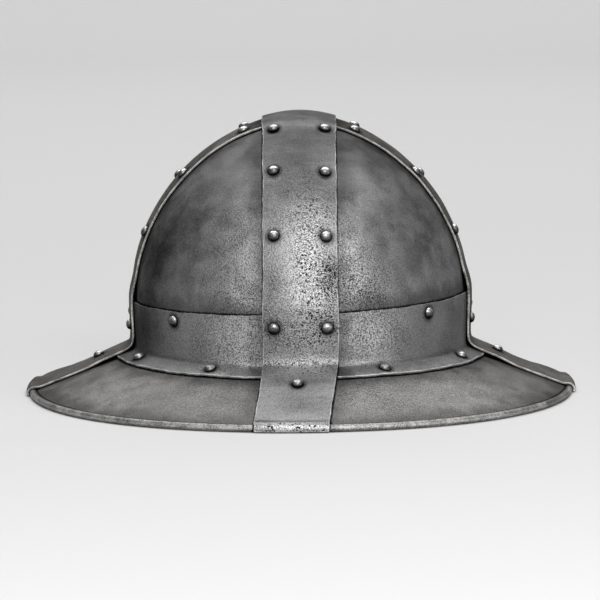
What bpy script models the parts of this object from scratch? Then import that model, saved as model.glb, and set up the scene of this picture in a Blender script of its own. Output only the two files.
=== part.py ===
"""A riveted kettle hat: four skull plates, a brow band in four quarters and a sloping brim with a
rolled edge, held under two crossed straps by dome-headed rivets. Metres, +Z up, the front faces -Y.
The hat stands on its rim, and the origin is on the ground under the middle of the crown.
Left and right are as seen from the front, so right is +X."""

import math
from collections import namedtuple

import bmesh
import bpy
from mathutils import Vector
from mathutils.bvhtree import BVHTree

# Sheet and play
SHEET = 0.0015
SEAT_GAP = 0.0005

# Skull, measured on the outer face of its plates. A rise is a height above the brim corner,
# which is where the upright skull would meet the slope of the brim if the bend were sharp.
SKULL_HALF_WIDTH = 0.1118
SKULL_HALF_LENGTH = 0.1262
WIDEST_RISE = 0.0325
TOP_RISE = 0.1546
SIDE_ROUNDING = 1.80
TOP_ROUNDING = 2.00
FOOT_TAPER = 0.0012
SEAM = 0.004
CROWN_CORNER_CUT = 0.0140

# Brow band
BAND_RISE = 0.0354
BAND_TILT = 0.0027
LIP_REACH = 0.0138
CORNER_RADIUS = 0.0045
EDGE_MARGIN = 0.0005

# Brim. Its reach is level, from the brim corner to the middle of the rolled edge. Its outline
# is fuller than an oval by this share of its size, halfway between the straps.
BRIM_REACH = 0.0701
BRIM_SLOPE = math.radians(21.2)
ROLL_RADIUS = 0.0025
ROLL_SET_DOWN = 0.0010
ROLL_FLAT = math.radians(12)
BRIM_FULLNESS = 0.020

# Straps. The front end of the long strap was riveted a little to the left. Each strap steps up
# on what it crosses, and is turned down over the rolled edge at its ends.
LONG_STRAP_WIDTH = 0.0475
CROSS_STRAP_WIDTH = 0.0520
FRONT_END_SIDESTEP = 0.0062
STEP_RUN = 0.0100
STEP_LEAD = 0.0012
LIP_RUN_OUT = 0.0240
STRAP_END_TURN = math.radians(25)
STRAP_WRAP_START = math.radians(112)
ROLL_APPROACH = 0.0055
ROW_CLEARANCE = 0.0130
HALFWAY_LIFT = 0.45

# Rivets
RIVET_HEAD_RADIUS = 0.0037
RIVET_HEAD_HEIGHT = 0.0029
RIVET_SHANK_RADIUS = 0.0020
RIVET_TAIL_RADIUS = 0.0031
RIVET_TAIL_HEIGHT = 0.0010
RIVET_PLAY = 0.0003
RIVET_EDGE_DISTANCE = 0.0072
BAND_RIVET_DROP = 0.0062
LIP_RIVET_REACH = 0.0072
SEAT_SEARCH = 0.0300

# Facets
QUARTER_STEPS = 9
STRAP_LANES = 4
DOME_STEPS = 7
LEVEL_STEP = 4
TOP_STRAP_STEPS = 4
CORNER_STEPS = 2
ROLL_STEPS = 7
STRAP_END_STEPS = 4
HEAD_SIDES = 8
SHANK_SIDES = 6
SHARP_ANGLE = math.radians(35)
SLOPE_NUDGE = 0.0001

LAYER = SHEET + SEAT_GAP
STRETCH = SKULL_HALF_LENGTH / SKULL_HALF_WIDTH
ROLL_HEIGHT = ROLL_RADIUS * math.cos(ROLL_FLAT)
CORNER_HEIGHT = (
    ROLL_HEIGHT
    + ROLL_SET_DOWN / math.cos(BRIM_SLOPE)
    + BRIM_REACH * math.tan(BRIM_SLOPE)
)
CORNER_LENGTH = CORNER_RADIUS * (1 - math.sin(BRIM_SLOPE)) / math.cos(BRIM_SLOPE)
LIP_START = CORNER_RADIUS * (1 - math.sin(BRIM_SLOPE))
CORNER_TURN = math.pi / 2 - BRIM_SLOPE

ARM_ANGLE = {"front": 0.0, "right": math.pi / 2, "back": math.pi, "left": 3 * math.pi / 2}
QUARTERS = {"front_right": 0, "back_right": 1, "back_left": 2, "front_left": 3}

# Rivet pairs down the straps. Heights are shares of the rise from the brim corner to the top of
# the crown, or of the rise to the band's upper edge.
LongRow = namedtuple("LongRow", "row over left right")
LONG_STRAP_ROWS = (
    LongRow(1, "crown", 0.946, 0.946),
    LongRow(2, "crown", 0.796, 0.790),
    LongRow(3, "crown", 0.545, 0.541),
    LongRow(4, "band", 0.760, 0.760),
)
CrossRow = namedtuple("CrossRow", "row over front back")
CROSS_STRAP_ROWS = (
    CrossRow(1, "crown", 0.935, 0.935),
    CrossRow(2, "crown", 0.755, 0.730),
    CrossRow(3, "crown", 0.508, 0.482),
    CrossRow(4, "band", 0.530, 0.670),
)

# The rivet alone on each arm's brim end, as a share of the brim's reach.
BRIM_RIVET_SHARES = {"front": 0.35, "right": 0.30, "back": 0.35, "left": 0.35}

# Rivets of each quarter of the band, in degrees round from the long strap.
BandRivet = namedtuple("BandRivet", "name on_left on_right on_lip")
BAND_RIVETS = (
    BandRivet("top", 46.7, 47.3, False),
    BandRivet("lip_1", 29.6, 27.3, True),
    BandRivet("lip_2", 64.5, 63.5, True),
)

# An ellipse round the hat, with the slope of the face there: `level`, `wide_lean` and `long_lean`
# are the parts of the face's normal that point outward and up, at the side and at the front.
Ring = namedtuple("Ring", "wide long height level wide_lean long_lean fullness", defaults=(0.0,))


def dome_ring(climb):
    """The skull above its widest level, from climb 0 there to a quarter turn at the top."""

    def profile(angle):
        wide = SKULL_HALF_WIDTH * max(math.cos(angle), 0.0) ** (2 / SIDE_ROUNDING)
        rise = TOP_RISE - WIDEST_RISE
        return wide, rise * max(math.sin(angle), 0.0) ** (2 / TOP_ROUNDING)

    low = profile(max(climb - SLOPE_NUDGE, 0.0))
    high = profile(min(climb + SLOPE_NUDGE, math.pi / 2))
    inward, upward = low[0] - high[0], high[1] - low[1]
    length = math.hypot(inward, upward)
    wide, rise = profile(climb)
    return Ring(
        wide,
        wide * STRETCH,
        CORNER_HEIGHT + WIDEST_RISE + rise,
        upward / length,
        inward / length,
        inward / length * STRETCH,
    )


def skull_ring(rise):
    """The skull at a height above the brim corner."""
    if rise > WIDEST_RISE:
        share = min((rise - WIDEST_RISE) / (TOP_RISE - WIDEST_RISE), 1.0)
        return dome_ring(math.asin(share ** (TOP_ROUNDING / 2)))
    drop = math.pi * (WIDEST_RISE - rise) / WIDEST_RISE
    wide = SKULL_HALF_WIDTH - FOOT_TAPER * (1 - math.cos(drop)) / 2
    lean = -FOOT_TAPER * math.sin(drop) * math.pi / WIDEST_RISE / 2
    return Ring(wide, wide * STRETCH, CORNER_HEIGHT + rise, 1.0, lean, lean * STRETCH)


def ring_of_width(wide):
    """The skull's ring of a given half width, above the widest level."""
    share = min(wide / SKULL_HALF_WIDTH, 1.0)
    return dome_ring(math.acos(share ** (SIDE_ROUNDING / 2)))


def plate_ring(step):
    """The ring where a row of the skull plates' facets lies, counted up from the widest level."""
    top = math.acos((CROWN_CORNER_CUT / SKULL_HALF_WIDTH) ** (SIDE_ROUNDING / 2))
    return dome_ring(top * step / DOME_STEPS)


FOOT = skull_ring(0.0)


def corner_ring(turn):
    """The bend between skull and brim, from turn 0 on the skull to CORNER_TURN on the brim."""
    out = CORNER_RADIUS * (1 - math.cos(turn))
    height = CORNER_HEIGHT + CORNER_LENGTH - CORNER_RADIUS * math.sin(turn)
    lean = math.sin(turn)
    return Ring(FOOT.wide + out, FOOT.long + out, height, math.cos(turn), lean, lean)


def brim_ring(reach):
    """The brim's upper face at a level distance out from the brim corner."""
    level, lean = math.sin(BRIM_SLOPE), math.cos(BRIM_SLOPE)
    height = CORNER_HEIGHT - reach * math.tan(BRIM_SLOPE)
    fullness = BRIM_FULLNESS * reach / BRIM_REACH
    return Ring(FOOT.wide + reach, FOOT.long + reach, height, level, lean, lean, fullness)


def roll_ring(angle, radius):
    """A ring round the rolled edge: angle 0 is outward, and a quarter turn is up."""
    reach = BRIM_REACH + radius * math.cos(angle)
    height = ROLL_HEIGHT + radius * math.sin(angle)
    return Ring(FOOT.wide + reach, FOOT.long + reach, height, 0.0, 1.0, 1.0, BRIM_FULLNESS)


def place(ring, angle, lift=0.0):
    """A point on a ring, at an angle round from the front, raised off the face by lift."""
    size = 1 + ring.fullness * math.sin(2 * angle) ** 2
    x = ring.wide * size * math.sin(angle)
    y = -ring.long * size * math.cos(angle)
    return Vector((x, y, ring.height)) + normal(ring, angle) * lift


def normal(ring, angle):
    if ring.wide < 1e-6:
        return Vector((0, 0, 1))
    across, along = math.sin(angle), -math.cos(angle)
    up = across**2 * ring.wide_lean / ring.wide + along**2 * ring.long_lean / ring.long
    return Vector((across * ring.level / ring.wide, along * ring.level / ring.long, up)).normalized()


def band_rise(angle):
    """The height of the band's upper edge, which climbs a little from the left to the right."""
    return BAND_RISE + BAND_TILT * math.sin(angle)


def quarter_angles(quarter, ring):
    """Angles across one quarter of the hat, from seam to seam."""
    first = math.asin(min(SEAM / 2 / (ring.long if quarter % 2 else ring.wide), 1.0))
    last = math.asin(min(SEAM / 2 / (ring.wide if quarter % 2 else ring.long), 1.0))
    start = quarter * math.pi / 2 + first
    span = math.pi / 2 - first - last
    return [start + span * step / QUARTER_STEPS for step in range(QUARTER_STEPS + 1)]


def steel(name, shade, roughness):
    material = bpy.data.materials.new(name)
    material.use_nodes = True
    shader = material.node_tree.nodes["Principled BSDF"]
    shader.inputs["Base Color"].default_value = (shade, shade, shade * 1.01, 1.0)
    shader.inputs["Roughness"].default_value = roughness
    shader.inputs["Metallic"].default_value = 1.0
    return material


def new_object(name, mesh_parts, material, parent, smooth=True):
    """An object from points and faces."""
    points, faces = mesh_parts
    mesh = bpy.data.meshes.new(name)
    mesh.from_pydata(points, [], faces)
    mesh.validate()
    edit = bmesh.new()
    edit.from_mesh(mesh)
    bmesh.ops.recalc_face_normals(edit, faces=edit.faces)
    edit.to_mesh(mesh)
    edit.free()
    if smooth:
        mesh.shade_smooth()
        mesh.set_sharp_from_angle(angle=SHARP_ANGLE)
    mesh.materials.append(material)
    obj = bpy.data.objects.new(name, mesh)
    bpy.context.scene.collection.objects.link(obj)
    obj.parent = parent
    return obj


def grid(rows, closed=False):
    """Points and faces of a sheet from rows of points; closed joins each row's ends."""
    width = len(rows[0])
    points = [point for row in rows for point in row]
    faces = []
    for row in range(len(rows) - 1):
        for column in range(width if closed else width - 1):
            after = (column + 1) % width
            here, above = row * width, (row + 1) * width
            faces.append((here + column, here + after, above + after, above + column))
    return points, faces


def thicken(obj, outward):
    """Gives a face its sheet thickness. The grids here all have rows that run down or inward."""
    solid = obj.modifiers.new("sheet", "SOLIDIFY")
    solid.thickness = SHEET
    solid.offset = 1.0 if outward else -1.0
    solid.use_even_offset = True
    solid.use_quality_normals = True


def face_out(obj):
    """Turns the sheet's normals away from the middle of the hat, so Solidify knows its outside."""
    face = max(obj.data.polygons, key=lambda polygon: polygon.center.z)
    if face.center.dot(face.normal) < 0:
        obj.data.flip_normals()


def sheet_object(name, rows, material, parent, outward=True):
    obj = new_object(name, grid(rows), material, parent)
    face_out(obj)
    thicken(obj, outward)
    return obj


def skull_plates(material, parent):
    """Four plates that meet under the straps. Each follows the rings up to its cut-off corner."""
    foot = CORNER_LENGTH + EDGE_MARGIN
    rings = [skull_ring(foot)] + [plate_ring(step) for step in range(DOME_STEPS + 1)]
    plates = []
    for name, quarter in QUARTERS.items():
        rows = [[place(ring, a) for a in quarter_angles(quarter, ring)] for ring in rings]
        plates.append(sheet_object(f"skull_plate_{name}", rows, material, parent, outward=False))
    return plates


def brow_band(material, parent):
    """Four quarters that stand on the skull plates and turn out into a lip on the brim."""
    bands = []
    angles_of = {name: quarter_angles(quarter, FOOT) for name, quarter in QUARTERS.items()}
    for name, angles in angles_of.items():
        rows = []
        rows.append([place(skull_ring(band_rise(a)), a, SEAT_GAP) for a in angles])
        bend = [corner_ring(CORNER_TURN * s / CORNER_STEPS) for s in range(CORNER_STEPS + 1)]
        lip = [brim_ring(LIP_REACH)]
        rows += [[place(ring, a, SEAT_GAP) for a in angles] for ring in bend + lip]
        bands.append(sheet_object(f"brow_band_{name}", rows, material, parent))
    return bands


def brim(material, parent):
    """One ring of sheet whose outer edge is rolled round a wire into a closed bead."""
    upper = math.pi - math.asin(ROLL_SET_DOWN / ROLL_RADIUS) - BRIM_SLOPE
    lower = math.pi + math.asin((SHEET - ROLL_SET_DOWN) / ROLL_RADIUS) - BRIM_SLOPE
    lower -= 2 * math.pi
    underfoot = (-math.pi / 2 + ROLL_FLAT, -math.pi / 2 - ROLL_FLAT)
    over = [upper + (underfoot[0] - upper) * s / (ROLL_STEPS - 2) for s in range(ROLL_STEPS - 1)]
    turns = over + [underfoot[1], (underfoot[1] + lower) / 2, lower]
    inner = brim_ring(LIP_START + EDGE_MARGIN)
    sides = 4 * QUARTER_STEPS
    angles = [2 * math.pi * side / sides for side in range(sides)]
    rows = [[place(inner, a, -SHEET) for a in angles], [place(inner, a) for a in angles]]
    rows += [[place(roll_ring(turn, ROLL_RADIUS), a) for a in angles] for turn in turns]
    points, faces = grid(rows, closed=True)
    width, last = len(angles), len(rows) - 1
    for column in range(width):
        after = (column + 1) % width
        faces.append((last * width + column, last * width + after, after, column))
    return new_object("brim", (points, faces), material, parent)


def arm_angle(arm, ring, offset):
    """Where an offset across a strap's arm falls on a ring."""
    half = ring.wide if arm in ("front", "back") else ring.long
    return ARM_ANGLE[arm] + math.asin(max(-1.0, min(1.0, offset / half)))


def smooth_step(value, start, end):
    share = max(0.0, min(1.0, (value - start) / (end - start)))
    return share * share * (3 - 2 * share)


def crown_point(arm, offset, run, lift):
    """A point near the top of the crown: run along the arm from the middle, offset across it."""
    lengthwise = arm in ("front", "back")
    along = run / STRETCH if lengthwise else run
    across = offset if lengthwise else offset / STRETCH
    ring = ring_of_width(math.hypot(along, across))
    if ring.wide < 1e-6:
        return place(ring, 0.0, lift)
    angle = ARM_ANGLE[arm] + math.atan2(across, along)
    return place(ring, angle, lift)


def sidestep(arm, reach):
    """How far to the left the strap's middle has moved where it crosses the brim."""
    return -FRONT_END_SIDESTEP * reach / BRIM_REACH if arm == "front" else 0.0


def top_rows(arm, offsets, crossing, lift):
    """Rows from beside the middle of the crown down to the ring where they lie level."""
    lengthwise = arm in ("front", "back")
    level = plate_ring(LEVEL_STEP)
    half, reach = (level.wide, level.long) if lengthwise else (level.long, level.wide)
    edge = crossing / 2 + STEP_LEAD
    runs = [edge / 2, edge, edge + STEP_RUN]
    between = (reach - runs[-1]) / TOP_STRAP_STEPS
    runs += [runs[-1] + between * step for step in range(1, TOP_STRAP_STEPS)]
    rows = []
    for run in runs:
        share = run / reach
        row = []
        for offset in offsets:
            drawn_in = reach - reach * math.sqrt(1 - (offset / half) ** 2)
            raised = lift(1 - smooth_step(run, edge, edge + STEP_RUN))
            row.append(crown_point(arm, offset, run - drawn_in * share**3, raised))
        rows.append(row)
    return rows


def side_rows(arm, offsets, lift):
    """Rows down the side of the skull, over the band and its lip, to the rolled edge."""
    band = band_rise(ARM_ANGLE[arm]) + STEP_LEAD
    halves = range(2 * LEVEL_STEP, 0, -1)
    rings = [plate_ring(half / 2) for half in halves]
    rings = [ring for ring in rings if ring.height > CORNER_HEIGHT + band + ROW_CLEARANCE]
    stations = [(ring, 0, 0.0) for ring in rings]
    stations += [(skull_ring(band + STEP_RUN), 0, 0.0), (skull_ring(band), 1, 0.0)]
    turns = [CORNER_TURN * step / CORNER_STEPS for step in range(CORNER_STEPS + 1)]
    stations += [(corner_ring(turn), 1, 0.0) for turn in turns]
    lip_end = LIP_REACH + STEP_LEAD
    approach = BRIM_REACH - ROLL_APPROACH
    reaches = [(lip_end, 1), (lip_end + LIP_RUN_OUT / 2, HALFWAY_LIFT), (lip_end + LIP_RUN_OUT, 0)]
    reaches += [(approach, 0)]
    stations += [(brim_ring(reach), layers, reach) for reach, layers in reaches]
    rows = []
    for ring, layers, reach in stations:
        moved = [offset + sidestep(arm, reach) for offset in offsets]
        rows.append([place(ring, arm_angle(arm, ring, o), lift(layers)) for o in moved])
    return rows


def end_rows(arm, offsets, clear):
    """Rows round the rolled edge, where the strap's end is turned down over it."""
    start = STRAP_WRAP_START - BRIM_SLOPE
    rows = []
    for step in range(STRAP_END_STEPS + 1):
        turn = start - (start + STRAP_END_TURN) * step / STRAP_END_STEPS
        ring = roll_ring(turn, ROLL_RADIUS + clear)
        moved = [offset + sidestep(arm, BRIM_REACH) for offset in offsets]
        rows.append([place(ring, arm_angle(arm, ring, o)) for o in moved])
    return rows


def strap(name, arms, width, crossing, rides_over, material, parent):
    """A strap from rim to rim over the crown. The one that rides over steps up on the other."""
    offsets = [width * (lane / STRAP_LANES - 0.5) for lane in range(STRAP_LANES + 1)]

    def top_lift(layers):
        return SEAT_GAP + (LAYER * layers if rides_over else 0.0)

    def side_lift(layers):
        return SEAT_GAP + LAYER * layers

    halves = []
    for arm in arms:
        rows = top_rows(arm, offsets, crossing, top_lift) + side_rows(arm, offsets, side_lift)
        halves.append(rows + end_rows(arm, offsets, SEAT_GAP))
    middle = [crown_point(arms[0], offset, 0.0, top_lift(1)) for offset in offsets]
    far_half = [list(reversed(row)) for row in halves[1]]
    rows = list(reversed(halves[0])) + [middle] + far_half
    return sheet_object(name, rows, material, parent)


RivetSite = namedtuple("RivetSite", "name point axis")


def strap_rivet_sites(arm, width, rows):
    """Pairs down one arm of a strap, and one rivet alone on the brim."""
    onward = {"front": "right", "right": "back", "back": "left", "left": "front"}[arm]
    sites = []
    for row in rows:
        rise = TOP_RISE if row.over == "crown" else band_rise(ARM_ANGLE[arm])
        for side in row._fields[2:]:
            ring = skull_ring(getattr(row, side) * rise)
            offset = width / 2 - RIVET_EDGE_DISTANCE
            angle = arm_angle(arm, ring, offset if side == onward else -offset)
            name = f"rivet_{arm}_{row.row}_{side}"
            sites.append(RivetSite(name, place(ring, angle), normal(ring, angle)))
    reach = BRIM_RIVET_SHARES[arm] * BRIM_REACH
    ring = brim_ring(reach)
    angle = arm_angle(arm, ring, sidestep(arm, reach))
    sites.append(RivetSite(f"rivet_{arm}_brim", place(ring, angle), normal(ring, angle)))
    return sites


def band_rivet_sites(name, quarter):
    """One rivet near the band's upper edge and two on its lip."""
    sites = []
    for rivet in BAND_RIVETS:
        turned = rivet.on_left if name.endswith("left") else rivet.on_right
        from_seam = turned if quarter % 2 == 0 else 90 - turned
        angle = quarter * math.pi / 2 + math.radians(from_seam)
        if rivet.on_lip:
            ring = brim_ring(LIP_RIVET_REACH)
        else:
            ring = skull_ring(band_rise(angle) - BAND_RIVET_DROP)
        label = f"rivet_band_{name}_{rivet.name}"
        sites.append(RivetSite(label, place(ring, angle), normal(ring, angle)))
    return sites


def circle(sides, radius, height):
    turn = 2 * math.pi / sides
    return [
        Vector((radius * math.cos(turn * i), radius * math.sin(turn * i), height))
        for i in range(sides)
    ]


def stitch(points, faces, first, second):
    """Joins two loops of points that may differ in number, each a (start, count) in points."""
    (start_a, count_a), (start_b, count_b) = first, second
    a = b = 0
    while a < count_a or b < count_b:
        here_a, here_b = start_a + a % count_a, start_b + b % count_b
        if b >= count_b or (a < count_a and (a + 1) * count_b <= (b + 1) * count_a):
            faces.append((here_a, start_a + (a + 1) % count_a, here_b))
            a += 1
        else:
            faces.append((here_a, start_b + (b + 1) % count_b, here_b))
            b += 1


def rivet_mesh(shank_length):
    """A domed head at the origin, a shank down through the sheets and a hammered tail."""
    dome = math.pi / 4
    loops = [
        circle(HEAD_SIDES, RIVET_HEAD_RADIUS * math.cos(dome), RIVET_HEAD_HEIGHT * math.sin(dome)),
        circle(HEAD_SIDES, RIVET_HEAD_RADIUS, 0.0),
        circle(SHANK_SIDES, RIVET_SHANK_RADIUS, 0.0),
        circle(SHANK_SIDES, RIVET_SHANK_RADIUS, -shank_length),
        circle(SHANK_SIDES, RIVET_TAIL_RADIUS, -shank_length),
    ]
    points = [Vector((0, 0, RIVET_HEAD_HEIGHT))]
    faces, spans = [], []
    for loop in loops:
        spans.append((len(points), len(loop)))
        points += loop
    points.append(Vector((0, 0, -shank_length - RIVET_TAIL_HEIGHT)))
    for first, second in zip(spans, spans[1:]):
        stitch(points, faces, first, second)
    for tip, (start, count) in ((0, spans[0]), (len(points) - 1, spans[-1])):
        faces += [(tip, start + i, start + (i + 1) % count) for i in range(count)]
    return points, faces


def seats(trees, site):
    """How far the sheets reach out and in along a rivet's axis, under its head and its tail."""
    turn = site.axis.to_track_quat("Z", "Y")
    highest, lowest = -SEAT_SEARCH, SEAT_SEARCH
    for radius, from_outside in ((RIVET_HEAD_RADIUS, True), (RIVET_TAIL_RADIUS, False)):
        for foot in [Vector((0, 0, 0))] + circle(HEAD_SIDES, radius, 0.0):
            base = site.point + turn @ foot
            side = 1 if from_outside else -1
            for tree in trees:
                start = base + site.axis * SEAT_SEARCH * side
                hit = tree.ray_cast(start, site.axis * -side, 2 * SEAT_SEARCH)[0]
                if hit is None:
                    continue
                depth = (hit - base).dot(site.axis)
                highest = max(highest, depth) if from_outside else highest
                lowest = lowest if from_outside else min(lowest, depth)
    return highest + RIVET_PLAY, lowest - RIVET_PLAY


def rivets_and_holes(sites, sheets, material, parent):
    """Seats each rivet on the sheets that it passes through, and drills them for its shank."""
    graph = bpy.context.evaluated_depsgraph_get()
    trees = [BVHTree.FromObject(sheet, graph) for sheet in sheets]
    drill_points, drill_faces = [], []
    for site in sites:
        top, bottom = seats(trees, site)
        turn = site.axis.to_track_quat("Z", "Y")
        rivet = new_object(site.name, rivet_mesh(top - bottom), material, parent)
        rivet.location = site.point + site.axis * top
        rivet.rotation_mode = "QUATERNION"
        rivet.rotation_quaternion = turn
        start = len(drill_points)
        radius = RIVET_SHANK_RADIUS + RIVET_PLAY / math.cos(math.pi / SHANK_SIDES)
        for height in (top + SHEET, bottom - SHEET):
            loop = circle(SHANK_SIDES, radius, height)
            drill_points += [site.point + turn @ point for point in loop]
        sides = range(SHANK_SIDES)
        drill_faces.append([start + i for i in sides])
        drill_faces.append([start + SHANK_SIDES + i for i in reversed(sides)])
        for i in sides:
            after = (i + 1) % SHANK_SIDES
            upper, lower = start, start + SHANK_SIDES
            drill_faces.append((upper + i, lower + i, lower + after, upper + after))
    drills = new_object("rivet_hole_drills", (drill_points, drill_faces), material, parent, False)
    drills.hide_render = True
    drills.display_type = "WIRE"
    for sheet in sheets:
        cut = sheet.modifiers.new("rivet holes", "BOOLEAN")
        cut.operation = "DIFFERENCE"
        cut.solver = "EXACT"
        cut.object = drills


def main():
    for old in list(bpy.data.objects):
        bpy.data.objects.remove(old)
    hat = bpy.data.objects.new("kettle_hat", None)
    bpy.context.scene.collection.objects.link(hat)
    plate_steel = steel("skull steel", 0.20, 0.42)
    sheets = skull_plates(plate_steel, hat)
    sheets += brow_band(steel("band steel", 0.22, 0.40), hat)
    sheets.append(brim(steel("brim steel", 0.21, 0.42), hat))
    strap_steel = steel("strap steel", 0.24, 0.38)
    long_width, cross_width = LONG_STRAP_WIDTH, CROSS_STRAP_WIDTH
    arms = (("front", "back"), ("right", "left"))
    sheets.append(strap("long_strap", arms[0], long_width, cross_width, True, strap_steel, hat))
    sheets.append(strap("cross_strap", arms[1], cross_width, long_width, False, strap_steel, hat))
    sites = []
    for arm in ("front", "back"):
        sites += strap_rivet_sites(arm, LONG_STRAP_WIDTH, LONG_STRAP_ROWS)
    for arm in ("left", "right"):
        sites += strap_rivet_sites(arm, CROSS_STRAP_WIDTH, CROSS_STRAP_ROWS)
    for name, quarter in QUARTERS.items():
        sites += band_rivet_sites(name, quarter)
    bpy.context.view_layer.update()
    rivets_and_holes(sites, sheets, steel("rivet steel", 0.30, 0.30), hat)


main()
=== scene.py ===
"""A riveted kettle hat of blackened steel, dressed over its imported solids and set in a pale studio.

Every sheet follows the same rings as the solids, only finer, so it lies where they lie. The straps'
steps are longer here, and the bends softer. The front faces -Y, +Z is up, and left and right are as
seen from the front. Lengths are in metres.
"""

import math
from collections import namedtuple

import bmesh
import bpy
import numpy as np
from mathutils import Matrix, Vector


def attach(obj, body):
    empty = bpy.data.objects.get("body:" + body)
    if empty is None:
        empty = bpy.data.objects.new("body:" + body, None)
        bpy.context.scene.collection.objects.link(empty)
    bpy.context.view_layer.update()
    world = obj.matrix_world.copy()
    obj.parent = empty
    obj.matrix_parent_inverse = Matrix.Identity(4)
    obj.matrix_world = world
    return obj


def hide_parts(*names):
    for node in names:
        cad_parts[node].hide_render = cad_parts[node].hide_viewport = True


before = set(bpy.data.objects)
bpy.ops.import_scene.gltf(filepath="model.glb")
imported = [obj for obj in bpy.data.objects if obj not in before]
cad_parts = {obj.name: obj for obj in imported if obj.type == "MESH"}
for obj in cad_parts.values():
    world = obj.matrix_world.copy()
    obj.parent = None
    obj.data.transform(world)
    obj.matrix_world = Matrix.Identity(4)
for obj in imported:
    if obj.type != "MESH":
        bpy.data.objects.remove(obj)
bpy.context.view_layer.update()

bl_info = {
    "name": "Kettle Hat",
    "version": (1, 0, 0),
    "blender": (4, 5, 0),
    "location": "3D View > Sidebar > Kettle Hat",
    "description": "Dresses a riveted kettle hat in worn blackened steel and lights it",
    "category": "Object",
}

ARM_ANGLE = {"front": 0.0, "right": math.pi / 2, "back": math.pi, "left": 3 * math.pi / 2}
QUARTERS = {"front_right": 0, "back_right": 1, "back_left": 2, "front_left": 3}
# The two points that give the dome's slope at a climb lie this far to either side of it.
CLIMB_NUDGE = 0.0001
# A distance that counts as out of reach of any edge or rivet.
FAR = 0.1
# The finer straps are drawn in this far at the rim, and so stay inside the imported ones.
WRAP_DRAW = 0.0001

# How fine the pieces are: points across each, and rows down each stretch of it.
PLATE_POINTS = 84
PLATE_ROWS = {"dome": 84, "upright": 16}
BAND_POINTS = 96
BAND_ROWS = {"upright": 18, "bend": 9, "lip": 8}
BRIM_POINTS = 540
BRIM_ROWS = 34
ROLL_POINTS = 20
STRAP_LANES = 25
STRAP_ROWS = {"crown": 84, "side": 72, "bend": 9, "brim": 40, "bridge": 6, "wrap": 14}
RIVET_SIDES = 28
# Above this share of the plates' climb a strap's rows run across the crown, and below it level.
CROWN_SHARE = 4 / 7

# The rows that are softened round the bend at the brim corner, and how often: on the band, counted
# from its top, and on a strap, counted up and down from the bend.
BAND_BEND = slice(8, 33)
BAND_ROUNDS = 30
ROWS_ABOVE_BEND = 12
ROWS_BELOW_BEND = 22
STRAP_ROUNDS = 90

# The rolled edge is worn along its crest: the crest's turn above the level, the half width of the
# worn line, and how near to fully worn it is, as a distance from an edge. It is gritty all round.
CREST_TURN = 0.6
CREST_HALF_WIDTH = 0.0012
CREST_WEAR = 0.0005
ROLL_GRIT = 0.35
# How many of the roll's points can be seen from outside.
ROLL_OUTSIDE = 14

# These edges are less worn, as if the wear started this much farther off.
BAND_TOP_UNWORN = 0.0008
LONG_STRAP_UNWORN = 0.0003
# How much more unevenly the band's lip was cut than its upper edge.
LIP_STRAY = 1.6

# A rivet's head is worn all over, as near to fully as this distance from an edge.
HEAD_WEAR = 0.0007
HEAD_GRIT = 0.2
# How much faster the painted shade and blackening at a head's foot fade than its height grows.
HEAD_SEAM = 1.2
# How far under its seat a head's rim reaches.
HEAD_SINK = 0.0003
# Only points this near to a rivet's seat can lie beside its head.
HEAD_NEAR = 0.03

# The hammer's gentle unevenness: waves that run through the sheets in different directions.
Wave = namedtuple("Wave", "x y z length amount phase")
WAVES = (
    Wave(0.9, 0.3, 0.4, 0.071, 0.00010, 0.4),
    Wave(-0.4, 0.8, 0.6, 0.053, 0.00009, 2.1),
    Wave(0.2, -0.6, 0.9, 0.043, 0.00008, 4.0),
    Wave(0.7, 0.7, -0.5, 0.033, 0.00006, 1.3),
    Wave(-0.8, 0.2, 0.7, 0.026, 0.00004, 5.2),
)

# How unevenly the edges were cut.
Cut = namedtuple("Cut", "length amount phase")
EDGE_CUTS = (
    Cut(0.047, 0.00016, 0.9),
    Cut(0.019, 0.00010, 3.1),
    Cut(0.0083, 0.00009, 5.3),
    Cut(0.0051, 0.00006, 1.2),
)
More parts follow.
